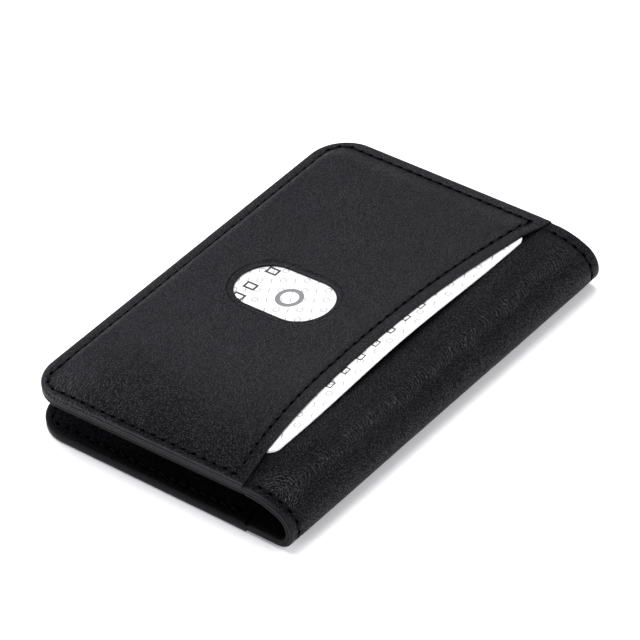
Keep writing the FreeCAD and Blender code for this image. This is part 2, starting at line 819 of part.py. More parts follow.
doc.recompute()
for item in doc.Objects:
    if "Invalid" in item.State or "Error" in item.State:
        raise ValueError(f"{item.Label} did not build: {item.State}")
for part in parts:
    if part.Shape.isNull() or not part.Shape.isValid():
        raise ValueError(f"{part.Label} is not a valid shape")

os.makedirs("parts", exist_ok=True)
for part in parts:
    part.Shape.exportStep(f"parts/{part.Label}.step")
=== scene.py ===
import json
import math

import bpy
import numpy as np
from mathutils import Matrix, Vector


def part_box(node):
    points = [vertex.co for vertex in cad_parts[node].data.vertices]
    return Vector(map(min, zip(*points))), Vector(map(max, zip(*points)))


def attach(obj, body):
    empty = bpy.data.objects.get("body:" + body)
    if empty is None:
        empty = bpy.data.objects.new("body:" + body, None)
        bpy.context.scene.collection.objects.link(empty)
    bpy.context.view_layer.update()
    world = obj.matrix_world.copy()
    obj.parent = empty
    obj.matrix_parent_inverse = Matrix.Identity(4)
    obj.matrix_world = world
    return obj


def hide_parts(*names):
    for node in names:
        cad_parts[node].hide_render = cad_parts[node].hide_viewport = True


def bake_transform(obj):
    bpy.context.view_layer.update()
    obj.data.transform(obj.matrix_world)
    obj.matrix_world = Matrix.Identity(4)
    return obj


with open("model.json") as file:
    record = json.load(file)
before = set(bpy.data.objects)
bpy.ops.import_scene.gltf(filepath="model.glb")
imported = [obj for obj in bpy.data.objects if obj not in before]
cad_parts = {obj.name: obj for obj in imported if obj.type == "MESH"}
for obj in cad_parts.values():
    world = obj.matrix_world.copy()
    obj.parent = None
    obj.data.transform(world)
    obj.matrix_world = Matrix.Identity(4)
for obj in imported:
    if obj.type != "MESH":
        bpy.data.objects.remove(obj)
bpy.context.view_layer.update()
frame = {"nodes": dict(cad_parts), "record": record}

# The holder is drawn in leather coordinates, in millimetres: u runs from the open edge of the
# front, round the fold, to the open edge of the back; v runs along the fold; n is the height
# outwards from the cover's outside. place() turns them into the row frame, in metres.

MM = 0.001
SCENE = bpy.context.scene

# ---------------- sizes from the CAD

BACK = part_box("cover_back")
OPEN_X = BACK[0].x / MM
HALF = BACK[1].y / MM
FOLD_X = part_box("cover_fold_mid")[1].x / MM
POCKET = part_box("outer_pocket_back")[1].z / MM
CARD_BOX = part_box("insert_card")
JOINTS = {joint["name"]: joint for joint in frame["record"]["behaviour"]["joints"]}
SLIDE = JOINTS["card_slide"]["axis"]
DROOP = math.atan2(SLIDE[2], SLIDE[0])

COVER = 0.65
LINING = 0.5
FOLD_LINING = 1.15
INNER = 0.55
LAYER_GAP = 0.01
CORNER = 9.0
FOLD_CREST = 66.0
MOUTH_END = 58.2
MOUTH_SAG = 4.9
ROW = 2.5
ROW_CORNER = 4.5
MOUTH_ROW = 2.8
PITCH = 2.68
CARD_T = 0.76
CARD_WIDE = 54.0
BOARD = 0.25
BOARD_INSET = 5.0
BOARD_END = 53.0
CARD_FLOOR = 0.07
CARD_ROUND = 3.18
CARD_BOW = 1.05
WINDOW = (27.1, 0.55)
WINDOW_LONG = 23.6
WINDOW_SHORT = 14.25
WINDOW_REACH = (WINDOW_LONG - WINDOW_SHORT) / 2

LOW_R, HIGH_R, SHOULDER_R = 4.0, 5.3, 18.0
LOW_TURN, HIGH_TURN = math.radians(75), math.radians(152)
FRONT_TURN = math.pi + DROOP

MOUTH_R = (HALF**2 + MOUTH_SAG**2) / (2 * MOUTH_SAG)
MOUTH_X = MOUTH_END - MOUTH_SAG + MOUTH_R

# ---------------- the fold


def arc_point(centre, radius, turn):
    return np.array([centre[0] + radius * math.sin(turn), centre[1] - radius * math.cos(turn)])


def arc_centre(point, radius, turn):
    return np.array([point[0] - radius * math.sin(turn), point[1] + radius * math.cos(turn)])


LOW_C = np.array(
    [FOLD_X - LOW_R * math.sin(LOW_TURN) - HIGH_R * (1 - math.sin(LOW_TURN)), POCKET + LOW_R]
)
HIGH_C = arc_centre(arc_point(LOW_C, LOW_R, LOW_TURN), HIGH_R, LOW_TURN)
SHOULDER_C = arc_centre(arc_point(HIGH_C, HIGH_R, HIGH_TURN), SHOULDER_R, HIGH_TURN)
FRONT_START = arc_point(SHOULDER_C, SHOULDER_R, FRONT_TURN)
FRONT_FLAT = (FRONT_START[0] - OPEN_X) / math.cos(DROOP)
BACK_FLAT = LOW_C[0] - OPEN_X

LEGS = []
_u, _p, _h = 0.0, np.array([OPEN_X, FRONT_START[1] - FRONT_FLAT * math.sin(DROOP)]), DROOP
for _radius, _amount in (
    (0, FRONT_FLAT),
    (SHOULDER_R, FRONT_TURN - HIGH_TURN),
    (HIGH_R, HIGH_TURN - LOW_TURN),
    (LOW_R, LOW_TURN),
    (0, BACK_FLAT),
):
    LEGS.append((_u, _p, _h, _radius))
    if _radius == 0:
        _p = _p + _amount * np.array([math.cos(_h), math.sin(_h)])
        _u += _amount
    else:
        _after = _h - _amount
        _p = _p + _radius * np.array(
            [math.sin(_h) - math.sin(_after), math.cos(_after) - math.cos(_h)]
        )
        _h = _after
        _u += _radius * _amount
TOTAL = _u
U_SHOULDER, U_HIGH, U_LOW, U_BACK = (LEGS[k][0] for k in range(1, 5))


def place(u, v, n):
    """Leather coordinates in millimetres to the row frame in metres, as an (N, 3) array."""
    u, v, n = np.broadcast_arrays(*(np.asarray(part, float) for part in (u, v, n)))
    x, z = np.zeros(u.shape), np.zeros(u.shape)
    for start, point, heading, radius in LEGS:
        on = (u >= start) | (start == 0)
        t = u[on] - start
        if radius == 0:
            h = np.full(t.shape, heading)
            px = point[0] + t * math.cos(heading)
            pz = point[1] + t * math.sin(heading)
        else:
            h = heading - t / radius
            px = point[0] + radius * (math.sin(heading) - np.sin(h))
            pz = point[1] + radius * (np.cos(h) - math.cos(heading))
        x[on] = px - n[on] * np.sin(h)
        z[on] = pz + n[on] * np.cos(h)
    return np.stack([x, v, z], -1) * MM


def u_at_turn(turn):
    """u where the outside of the fold has turned this far from the flat back."""
    if turn >= HIGH_TURN:
        return U_SHOULDER + SHOULDER_R * (FRONT_TURN - turn)
    if turn >= LOW_TURN:
        return U_HIGH + HIGH_R * (HIGH_TURN - turn)
    return U_LOW + LOW_R * (LOW_TURN - turn)


# The leather is split half way between two hinges, in the middle of a fold section.
SEAMS = [u_at_turn(math.radians(turn)) for turn in (135, 90, 45)]
SPANS = [
    ("front", "fold_high", FRONT_FLAT - 0.5, SEAMS[0]),
    ("fold_high", "fold_mid", SEAMS[0], SEAMS[1]),
    ("fold_mid", "fold_low", SEAMS[1], SEAMS[2]),
    ("fold_low", "back", SEAMS[2], U_BACK),
]

# ---------------- small maths


def step(low, high, x):
    """Smooth step from 0 at low to 1 at high."""
    t = np.clip((np.asarray(x, float) - low) / (high - low), 0, 1)
    return t * t * (3 - 2 * t)


def bilinear(a, b, c, d, fx, fy):
    """Value between four corners: a, b along x and c, d beyond them along y."""
    return a + (b - a) * fx + (c - a) * fy + (a - b - c + d) * fx * fy


def noise(u, v, scale_u, scale_v, seed):
    """Smooth value noise between -1 and 1, the same on every run."""
    table = np.random.default_rng(seed).uniform(-1, 1, (256, 256))
    x, y = np.asarray(u, float) / scale_u + 500, np.asarray(v, float) / scale_v + 500
    i, j = np.floor(x).astype(int), np.floor(y).astype(int)
    fx, fy = x - i, y - j
    fx, fy = fx * fx * (3 - 2 * fx), fy * fy * (3 - 2 * fy)
    a, b = table[i % 256, j % 256], table[(i + 1) % 256, j % 256]
    c, d = table[i % 256, (j + 1) % 256], table[(i + 1) % 256, (j + 1) % 256]
    return bilinear(a, b, c, d, fx, fy)


def in_corner(du, dv, corner):
    """Distance inside two square edges that meet in a rounded corner."""
    bend = corner - np.hypot(np.maximum(corner - du, 0), np.maximum(corner - dv, 0))
    return np.where((du < corner) & (dv < corner), bend, np.minimum(du, dv))


def inside(u, v, inset, corner):
    """Distance inside the edge of a half, less an inset: positive inside. No edge at the fold."""
    return in_corner(np.asarray(u, float) - inset, HALF - inset - np.abs(v), corner)


def own_half(u):
    """u counted from the nearer of the two open edges."""
    return np.minimum(u, TOTAL - np.asarray(u, float))


def along_row(u, v):
    """Distance along the edge row from the middle of the open edge, the same on both sides."""
    du = np.asarray(u, float) - ROW
    dv = HALF - ROW - np.abs(v)
    side = HALF - ROW - ROW_CORNER
    angle = np.arctan2(np.maximum(ROW_CORNER - dv, 0), np.maximum(ROW_CORNER - du, 1e-9))
    turning = side + ROW_CORNER * angle
    past = side + ROW_CORNER * math.pi / 2 + du - ROW_CORNER
    return np.where(du > ROW_CORNER, past, np.where(dv > ROW_CORNER, np.abs(v), turning))


def pull(v):
    """How far handling has drawn the soft mouth out of its cut shape."""
    wave = np.sin(math.pi * np.asarray(v, float) / HALF)
    return 0.3 * wave - 0.5 * wave**2


def from_mouth(u, v):
    """Distance from the curved mouth, positive towards the open edge."""
    return np.hypot(np.asarray(u, float) - pull(v) - MOUTH_X, v) - MOUTH_R


def mouth_u(v, inset=0.0):
    """u of the mouth, or of a line inside it."""
    return MOUTH_X - np.sqrt((MOUTH_R + inset) ** 2 - np.asarray(v, float) ** 2) + pull(v)


def from_window(u, v):
    """Distance outside the edge of the thumb window."""
    du = np.maximum(np.abs(np.asarray(u, float) - WINDOW[0]) - WINDOW_REACH, 0)
    return np.hypot(du, np.asarray(v, float) - WINDOW[1]) - WINDOW_SHORT / 2


def panel_rim(u, v):
    """Distance inside the outline of a pocket panel."""
    return np.minimum(inside(u, v, 0, CORNER), from_mouth(u, v))


def panel_edge(u, v):
    """Distance inside the glossy outer edge of a pocket panel; its mouth is less glossy."""
    return np.minimum(inside(u, v, 0, CORNER), from_mouth(u, v) + 0.75)


def layer_edge(u, v):
    """Distance inside the edge of the cover or the facing, by u from either open edge."""
    return inside(own_half(u), v, 0, CORNER)


def rounding(distance, radius):
    """How far a rounded edge has dropped at a distance from it."""
    d = np.clip(distance, 0, radius)
    return radius - np.sqrt(radius**2 - (radius - d) ** 2)


# ---------------- plans and solids

# distances from an edge at which a plan has a line, close where leather is rounded or sewn
EDGE = [0, 0.03, 0.08, 0.15, 0.24, 0.35, 0.5, 0.7, 0.95, 1.2, 1.45, 1.7, 1.9, 2.05, 2.18, 2.3,
        2.4, 2.5, 2.6, 2.7, 2.82, 2.95, 3.1, 3.3, 3.55, 3.85, 4.2, 4.6, 5.1, 5.7, 6.4, 7.2, 8.1,
        9.0]
EDGE_COVER = EDGE[:24] + [3.3 + 0.24 * k for k in range(1, 30)]
EDGE_BACK = EDGE[:12] + [2.0, 2.25, 2.5, 2.75, 3.0, 3.4, 4.0, 5.0, 6.2, 7.5, 9.0]
EDGE_LINING = EDGE[:12] + [2.0, 3.0, 4.0, 4.6, 4.85, 5.2, 6.2, 7.5, 9.0]
MOUTH_REACH = 4.3
MOUTH_PLAN_U = 52.1
PATCH_U, PATCH_V = 16, 12


def middle(low, high, spacing):
    """Evenly spaced lines strictly between two positions."""
    count = max(1, int(round((high - low) / spacing)))
    return list(np.linspace(low, high, count + 1)[1:-1])


def v_lines(limit, edge, spacing, longest=HALF):
    """Lines along the fold direction: dense beside both ends, the same number in every row."""
    reach = limit - edge[-1]
    low = [-limit + e for e in edge]
    spacing = spacing * reach / (longest - edge[-1])
    return np.array(low + middle(-reach, reach, spacing) + [-x for x in low[::-1]])


def corner_cut(u):
    """How much shorter a half is at u because of its rounded corner."""
    u = min(max(u, 0.0), CORNER)
    return CORNER - math.sqrt(CORNER**2 - (CORNER - u) ** 2)


def half_plan(us, edge, spacing, curved=None):
    """Plan of a half or a pocket panel. us: u of each row; curved: rows held to the mouth."""
    U, V = [], []
    for k, u in enumerate(us):
        v = v_lines(HALF - corner_cut(u), edge, spacing)
        U.append(curved(k, u, v) if curved else np.full(v.shape, u))
        V.append(v)
    return np.array(U), np.array(V)


def quads_of(shape, skip=None):
    """Quads of a grid of points, without those in a block of rows and lines."""
    rows, lines = shape
    index = np.arange(rows * lines).reshape(rows, lines)
    quads = np.stack([index[:-1, :-1], index[1:, :-1], index[1:, 1:], index[:-1, 1:]], -1)
    keep = np.ones(quads.shape[:2], bool)
    if skip:
        keep[skip[0]:skip[1], skip[2]:skip[3]] = False
    return quads[keep]


def new_piece(name, points, faces):
    """A smooth-shaded object in the scene from points in metres."""
    mesh = bpy.data.meshes.new(name)
    mesh.from_pydata(points.tolist(), [], faces)
    mesh.polygons.foreach_set("use_smooth", np.ones(len(mesh.polygons), bool))
    thing = bpy.data.objects.new(name, mesh)
    SCENE.collection.objects.link(thing)
    return thing


def wrap_texture(mesh, U, V, thick, edge_of, side):
    """Texture position of every corner, run on round the edge to the inner side. The attribute
    "rim" marks the smooth turned or painted edge."""
    sign = 1 if side == "front" else -1
    own = edge_of(U, V)
    out_u = (own - edge_of(U + 0.01, V)) / 0.01 * sign
    out_v = (own - edge_of(U, V + 0.01)) / 0.01
    near = step(1.0, 0.5, own)
    turned = np.tile(near, 2) * np.concatenate([rounding(own, 0.6), 0.6 + np.clip(thick, 0, 3)])
    texture_u = np.tile(U if side == "front" else TOTAL - U, 2) + np.tile(out_u, 2) * turned
    texture_v = np.tile(V, 2) + np.tile(out_v, 2) * turned
    loop_vertices = np.zeros(len(mesh.loops), int)
    mesh.loops.foreach_get("vertex_index", loop_vertices)
    texture = np.stack([texture_u, texture_v], -1)[loop_vertices] / 10
    mesh.uv_layers.new(name="leather").data.foreach_set("uv", texture.ravel())
    rim = mesh.attributes.new("rim", "FLOAT", "POINT")
    rim.data.foreach_set("value", np.tile(step(1.3, 0.3, own), 2))


def sharpen_seams(mesh, leather_u, seams):
    """Shade each piece on its own at the seams, where the next piece goes on."""
    pairs = np.zeros(len(mesh.edges) * 2, int)
    mesh.edges.foreach_get("vertices", pairs)
    ends = np.tile(leather_u, 2)[pairs.reshape(-1, 2)]
    at_seam = np.zeros(len(ends), bool)
    for seam in seams:
        at_seam |= (np.abs(ends - seam) < 1e-6).all(1)
    sharp = mesh.attributes.get("sharp_edge")
    sharp = sharp or mesh.attributes.new("sharp_edge", "BOOLEAN", "EDGE")
    sharp.data.foreach_set("value", at_seam)


def solid(name, U, V, outer, inner, edge_of, side="front", seams=(), quads=None):
    """A closed sheet between two height functions of its plan, by u from its own open edge."""
    quads = quads_of(U.shape) if quads is None else quads
    U, V = U.ravel(), V.ravel()
    used = np.unique(quads)
    renumber = np.full(U.size, -1)
    renumber[used] = np.arange(used.size)
    U, V, quads = U[used], V[used], renumber[quads]
    count = U.size
    leather_u = U if side == "front" else TOTAL - U
    high, low = outer(U, V), inner(U, V)
    points = np.concatenate([place(leather_u, V, high), place(leather_u, V, low)])
    edges = np.concatenate([quads[:, [k, (k + 1) % 4]] for k in range(4)])
    keys = edges[:, 0] * count + edges[:, 1]
    free = edges[~np.isin(keys, edges[:, 1] * count + edges[:, 0])]
    walls = np.stack([free[:, 1], free[:, 0], free[:, 0] + count, free[:, 1] + count], -1)
    faces = np.concatenate([quads, quads[:, ::-1] + count, walls])
    if side == "back":
        faces = faces[:, ::-1]
    thing = new_piece(name, points, faces.tolist())
    wrap_texture(thing.data, U, V, high - low, edge_of, side)
    if seams:
        sharpen_seams(thing.data, leather_u, seams)
    thing.data.update()
    return thing


# ---------------- pocket over the card

CARD_LOW_U = (CARD_BOX[0].x / MM - OPEN_X) / math.cos(DROOP)
CARD_V = (CARD_BOX[0].y + CARD_BOX[1].y) / 2 / MM
CARD_HALF_LONG = (CARD_BOX[1].y - CARD_BOX[0].y) / 2 / MM
PUFF_STEP = 0.5
RELAX_ROUNDS = 2500
SOFTEN_ROUNDS = 7


def card_rise(u, v):
    """How far the card bows upwards: most half way along its free edge."""
    arch = np.cos(np.clip((np.asarray(v, float) - 2.5) / 34, -1, 1) * math.pi / 2) ** 2
    return CARD_BOW * arch * step(14, 58, u)


def card_inside(u, v):
    """Distance inside the card's outline."""
    du = CARD_WIDE / 2 - np.abs(np.asarray(u, float) - CARD_LOW_U - CARD_WIDE / 2)
    dv = CARD_HALF_LONG - np.abs(np.asarray(v, float) - CARD_V)
    return in_corner(du, dv, CARD_ROUND)


def neighbours(height):
    """Mean height of the four neighbours of every point of a grid."""
    padded = np.pad(height, 1, mode="edge")
    return (padded[:-2, 1:-1] + padded[2:, 1:-1] + padded[1:-1, :-2] + padded[1:-1, 2:]) / 4


def settle_pocket():
    """Heights of the pocket's two sides: a membrane sewn down round the edge, over the card."""
    us = np.arange(0, 60.01, PUFF_STEP)
    vs = np.arange(-HALF - 0.4, HALF + 0.41, PUFF_STEP)
    U, V = np.meshgrid(us, vs, indexing="ij")
    sewn = inside(U, V, ROW, ROW_CORNER) < 0.35
    lift = np.where(card_inside(U, V) > -0.1, CARD_FLOOR + CARD_T + card_rise(U, V) + 0.06, 0)
    height = lift.copy()
    for _ in range(RELAX_ROUNDS):
        height = np.maximum(neighbours(height), lift)
        height[sewn] = 0
    soft = height.copy()
    for _ in range(SOFTEN_ROUNDS):
        soft = 0.4 * soft + 0.6 * neighbours(soft)
        soft[sewn] = 0
    return us, vs, height, soft


PUFF_U, PUFF_V, PUFF_UNDER, PUFF_OUTER = settle_pocket()


def puff(table, u, v):
    """Look a height up in the settled membrane."""
    x = np.clip((np.asarray(u, float) - PUFF_U[0]) / PUFF_STEP, 0, len(PUFF_U) - 1.001)
    y = np.clip((np.asarray(v, float) - PUFF_V[0]) / PUFF_STEP, 0, len(PUFF_V) - 1.001)
    i, j = x.astype(int), y.astype(int)
    return bilinear(
        table[i, j], table[i + 1, j], table[i, j + 1], table[i + 1, j + 1], x - i, y - j
    )


# ---------------- relief of the leather


def groove(distance, along):
    """Depth of a sewn groove, drawn in a little further at every needle hole."""
    hole = (0.5 + 0.5 * np.cos(2 * math.pi * np.asarray(along, float) / PITCH)) ** 2
    across = np.exp(-((distance / 0.42) ** 2))
    wide = np.exp(-((distance / 1.2) ** 2))
    return 0.19 * across + wide * (0.05 + 0.06 * hole)


def edge_row(u, v):
    """Groove of the row sewn round a half."""
    return groove(inside(u, v, ROW, ROW_CORNER), along_row(u, v))


def mouth_row(u, v):
    """Groove of the row beside a mouth."""
    return groove(from_mouth(u, v) - MOUTH_ROW, v)


def panel_rows(u, v):
    """Both rows of a pocket panel, each ending where it meets the other."""
    edge = edge_row(u, v) * step(MOUTH_ROW - 0.9, MOUTH_ROW - 0.2, from_mouth(u, v))
    mouth = mouth_row(u, v) * step(-0.9, -0.2, inside(u, v, ROW, ROW_CORNER))
    return np.maximum(edge, mouth)


def waviness(u, v, seed, amount=0.05):
    """Slow unevenness of hand-sized leather."""
    return amount * (
        noise(u, v, 13, 17, seed) + 0.5 * noise(u, v, 5.5, 7, seed + 1)
        + 0.18 * noise(u, v, 2.1, 2.4, seed + 2)
    )


def outer_front(u, v):
    """Top of the front pocket."""
    edge = inside(u, v, 0, CORNER)
    mouth = from_mouth(u, v)
    window = from_window(u, v)
    calm = step(0.5, 4, inside(u, v, ROW, ROW_CORNER)) * step(1, 5, mouth)
    height = puff(PUFF_OUTER, u, v) + POCKET - panel_rows(u, v)
    tip = np.hypot(np.asarray(u, float) - MOUTH_END, np.abs(v) - HALF)
    height = height + waviness(u, v, 11) * calm - 0.08 * np.exp(-((tip / 2.6) ** 2))
    crease = 0.17 * np.exp(-(((window - 1.25) / 0.22) ** 2))
    pressed = 0.16 * step(1.5, 0.9, window) + 0.12 * step(0.7, 0, window)
    height = height - (crease + pressed) * (window > -0.1)
    return height - rounding(edge, 0.62) - rounding(mouth, 0.3) - rounding(window, 0.12)


def under_front(u, v):
    """Underside of the front pocket."""
    low = np.maximum(puff(PUFF_UNDER, u, v) - 0.05, 0)
    return np.minimum(low + rounding(panel_rim(u, v), 0.04), outer_front(u, v) - 0.02)


def outer_back(u, v):
    """Outside of the back pocket, flat where it lies on the table."""
    wave = np.minimum(waviness(u, v, 31, 0.03) - 0.03, 0)
    return POCKET - panel_rows(u, v) + wave - rounding(panel_rim(u, v), 0.5)


def under_back(u, v):
    """Underside of the back pocket, flat on the cover."""
    return rounding(panel_rim(u, v), 0.04)


def wrinkles(u, v):
    """Creases of the cover round the fold, in leather coordinates."""
    u, v = np.asarray(u, float), np.asarray(v, float)
    relief = np.zeros(np.broadcast(u, v).shape)
    for end, size, seed in ((-1, 1.0, 41), (1, 0.5, 47)):
        du, dv = u - FOLD_CREST, v * end - (HALF - ROW)
        bend = dv + 0.045 * du**2
        far = -bend + 0.45 * noise(u, v, 2.8, 1.6, seed) + 0.12 * noise(u, v, 0.9, 0.9, seed + 1)
        wave = 1 - np.abs(np.sin(math.pi * far / 0.9))
        reach = step(0.5, 1.3, -dv) * step(8.5, 4.0, -dv) * step(8.5, 4.5, np.abs(du))
        broken = 0.35 + 0.65 * step(-0.5, 0.6, noise(u, v, 2.1, 0.9, seed + 2))
        relief += size * 0.15 * (wave - 0.4) * reach * broken
    band = np.exp(-(((u - FOLD_CREST) / 2.6) ** 2))
    fine = noise(u, v, 1.6, 0.7, 53) + 0.5 * noise(u, v, 0.8, 0.45, 54)
    patchy = step(-0.7, 0.5, noise(u, v, 4, 7, 55))
    relief += 0.04 * band * fine * patchy
    side = step(FOLD_CREST, FOLD_CREST + 4, u) * step(82, 76, u)
    return relief + 0.02 * side * noise(u, v, 1.1, 7.0, 57)


def cover_outer(u, v):
    """Outside of the cover, by u from the open edge of the front."""
    own_u = own_half(u)
    edge = inside(own_u, v, 0, CORNER)
    bare = step(MOUTH_END - 0.3, MOUTH_END + 0.3, own_u)
    row = groove(inside(own_u, v, ROW, ROW_CORNER), u - MOUTH_END) * bare
    slow = 0.04 * noise(u, v, 9, 12, 61) * step(1.0, 3, edge) * step(50, 60, own_u)
    creases = wrinkles(u, v) * step(0.3, 1.5, edge)
    return creases + slow - row - rounding(edge, 0.05 + 0.3 * bare)


def cover_inner(u, v):
    """Inside of the cover."""
    return -COVER + rounding(layer_edge(u, v), 0.05)


def lining_outer(u, v):
    """Outside of the facing, with the shallow recess the stiffening board lies in."""
    own_u = own_half(u)
    over_board = np.minimum(inside(own_u, v, BOARD_INSET - 0.4, 2.5), BOARD_END + 0.4 - own_u)
    recess = (BOARD + LAYER_GAP) * step(0, 0.25, over_board)
    return -COVER - LAYER_GAP - recess - rounding(layer_edge(u, v), 0.05)


def lining_inner(u, v):
    """Inside of the facing, thicker between the pocket mouths and lightly creased in the fold."""
    own_u = own_half(u)
    thick = LINING + (FOLD_LINING - LINING) * step(-0.05, -0.6, from_mouth(own_u, v))
    edge = inside(own_u, v, 0, CORNER)
    fine = 0.03 * noise(u, v, 0.8, 3.0, 71) * step(60, 64, own_u) * step(0.3, 2, edge)
    bottom = 0.05 + 0.4 * step(MOUTH_END - 0.3, MOUTH_END + 0.6, own_u)
    return -COVER - LAYER_GAP - thick + rounding(edge, bottom) + fine


INNER_TOP = -COVER - LINING - 2 * LAYER_GAP
INNER_FACE = INNER_TOP - INNER


def inner_hidden(u, v):
    """Side of an inner pocket that lies on the facing."""
    return INNER_TOP - rounding(panel_rim(u, v), 0.05)


def inner_face(u, v):
    """Face of an inner pocket, seen when the holder is open."""
    rim = panel_rim(u, v)
    wave = waviness(u, v, 81, 0.04) * step(1, 4, rim)
    return INNER_FACE + 0.7 * panel_rows(u, v) + rounding(rim, 0.45) + wave


# ---------------- plans of the pieces


def panel_plan(edge, spacing):
    """Plan of a pocket panel, with its last rows parallel to the curved mouth."""
    mouth_lines = [e for e in edge if e <= MOUTH_REACH]
    start, stop = edge[-1], MOUTH_PLAN_U - mouth_lines[-1]
    us = list(edge) + middle(start, stop, spacing)
    first_mid, first_mouth = len(edge), len(us)
    us += [stop + (mouth_lines[-1] - e) for e in mouth_lines[::-1]]

    def curved(k, u, v):
        if k < first_mid:
            return np.full(v.shape, u)
        if k < first_mouth:
            share = (u - start) / (stop - start)
            return start + share * (mouth_u(v, mouth_lines[-1]) - start)
        return mouth_u(v, mouth_lines[::-1][k - first_mouth])

    return half_plan(us, edge, spacing, curved)


def window_patch(U, V, quads_block):
    """Rings of points from a block of the grid down to the window's edge."""
    i0, i1, j0, j1 = quads_block
    loop = (
        [(i, j0) for i in range(i0, i1)]
        + [(i1, j) for j in range(j0, j1)]
        + [(i, j1) for i in range(i1, i0, -1)]
        + [(i0, j) for j in range(j1, j0, -1)]
    )
    lines = U.shape[1]
    loop_index = np.array([i * lines + j for i, j in loop])
    lu, lv = U.ravel()[loop_index], V.ravel()[loop_index]
    angle = np.arctan2(lv - WINDOW[1], lu - WINDOW[0])
    c, s = np.cos(angle), np.sin(angle)
    rings = [3.2, 2.7, 2.3, 2.0, 1.75, 1.55, 1.42, 1.33, 1.25, 1.17, 1.08, 0.95, 0.8, 0.62, 0.45,
             0.32, 0.22, 0.14, 0.08, 0.03, 0.0]
    blend = 8
    points_u, points_v = [], []
    radii = [3.8] * blend + rings
    for k, w in enumerate(radii):
        r = WINDOW_SHORT / 2 + w
        flat = r / np.maximum(np.abs(s), 1e-9)
        cap = WINDOW_REACH * np.abs(c) + np.sqrt(np.maximum(r**2 - (WINDOW_REACH * s) ** 2, 0))
        t = np.where(np.abs(flat * c) <= WINDOW_REACH, flat, cap)
        pu, pv = WINDOW[0] + t * c, WINDOW[1] + t * s
        if k < blend:
            share = (k + 1) / (blend + 1)
            pu, pv = lu + (pu - lu) * share, lv + (pv - lv) * share
        points_u.append(pu)
        points_v.append(pv)
    count = len(loop)
    index = [loop_index] + [U.size + k * count + np.arange(count) for k in range(len(radii))]
    quads = []
    for a, b in zip(index, index[1:]):
        a2, b2 = np.roll(a, -1), np.roll(b, -1)
        quads.append(np.stack([a, a2, b2, b], -1))
    U = np.concatenate([U.ravel(), np.concatenate(points_u)])
    V = np.concatenate([V.ravel(), np.concatenate(points_v)])
    return U, V, np.concatenate(quads)


def cover_rows(high, spacing, fine, edge):
    """Rows of a half of the cover: close at the open edge, at the board's end and to the fold."""
    past_board = [BOARD_END + 0.15, BOARD_END + 0.4, BOARD_END + 2]
    rows = list(edge) + middle(edge[-1], BOARD_END, spacing) + past_board
    return rows + middle(past_board[-1], high - 0.02, fine) + [high - 0.02, high]


# ---------------- stitches


SIDES = 8


def stitch_mesh(name, stitches):
    """Threads standing half out of the leather, each with a dark disc at the needle hole it goes
    into, painted shade for the hole. A stitch is (u, v, n, direction, outward sign). The attribute
    "hole" marks the discs."""
    tube = []
    for s in np.linspace(-1, 1, 9):
        radius = 0.22 * math.sqrt(max(1 - abs(s) ** 5, 0.06))
        tube.append((s * 1.06, 0.08 - 0.26 * abs(s) ** 3, radius, radius))
    # each hole is a flat disc on the leather, coloured dark by the thread material: painted shade
    # of the needle hole
    hole = [(PITCH / 2 + 0.55 * s, 0.1, 0.32 * math.sqrt(max(1 - s * s, 0.02)), 0.1)
            for s in (-1, -0.8, -0.4, 0.0, 0.4, 0.8, 1)]
    ring = np.arange(SIDES) * 2 * math.pi / SIDES
    points, faces, hole_shade = [], [], []
    first = 0
    for number, (u, v, n, (du, dv), out) in enumerate(stitches):
        tilt = math.radians(7.0 + 4.0 * math.sin(number * 12.9898))
        for sections, turn in ((tube, tilt), (hole, 0.0)):
            cu = du * math.cos(turn) - dv * math.sin(turn)
            cv = du * math.sin(turn) + dv * math.cos(turn)
            for along, lift, half_width, half_height in sections:
                across = half_width * np.cos(ring)
                up = half_height * np.sin(ring) + lift
                points.append(np.stack(
                    [u + along * cu - across * cv, v + along * cv + across * cu, n + out * up], -1
                ))
                hole_shade += [float(sections is hole)] * SIDES
            last = first + (len(sections) - 1) * SIDES
            skin = []
            for k in range(first, last, SIDES):
                for m in range(SIDES):
                    a, b = k + m, k + (m + 1) % SIDES
                    skin.append([a, a + SIDES, b + SIDES, b])
            skin += [list(range(first, first + SIDES)), list(range(last, last + SIDES))[::-1]]
            faces += skin if out < 0 else [face[::-1] for face in skin]
            first = last + SIDES
    flat = np.concatenate(points)
    thing = new_piece(name, place(flat[:, 0], flat[:, 1], flat[:, 2]), faces)
    thing.data.attributes.new("hole", "FLOAT", "POINT").data.foreach_set("value", hole_shade)
    thing.data.update()
    return thing


ROW_SIDE = HALF - ROW - ROW_CORNER
ROW_CORNER_LENGTH = ROW_CORNER * math.pi / 2


def row_point(along, sign):
    """(u, v) and direction on the edge row, from the middle of the open edge."""
    if along < ROW_SIDE:
        return ROW, sign * along, (0.0, sign)
    along -= ROW_SIDE
    if along < ROW_CORNER_LENGTH:
        angle = along / ROW_CORNER
        u = ROW + ROW_CORNER - ROW_CORNER * math.cos(angle)
        v = ROW_SIDE + ROW_CORNER * math.sin(angle)
        return u, sign * v, (math.sin(angle), sign * math.cos(angle))
    along -= ROW_CORNER_LENGTH
    return ROW + ROW_CORNER + along, sign * (HALF - ROW), (1.0, 0.0)


def one_stitch(height, u, v, direction, out, side):
    """A stitch drawn on a half by u from its own open edge."""
    n = float(height(u, v))
    if side == "back":
        u, direction = TOTAL - u, (-direction[0], direction[1])
    return u, v, n, direction, out


def edge_stitches(height, out, side):
    """Stitches round one half, as far as its mouth row."""
    result = []
    stop = ROW_SIDE + ROW_CORNER_LENGTH + mouth_u(HALF - ROW, MOUTH_ROW) - ROW - ROW_CORNER
    for sign in (-1, 1):
        along = PITCH / 2
        while along < stop - 0.6:
            u, v, direction = row_point(along, sign)
            result.append(one_stitch(height, u, v, direction, out, side))
            along += PITCH
    return result


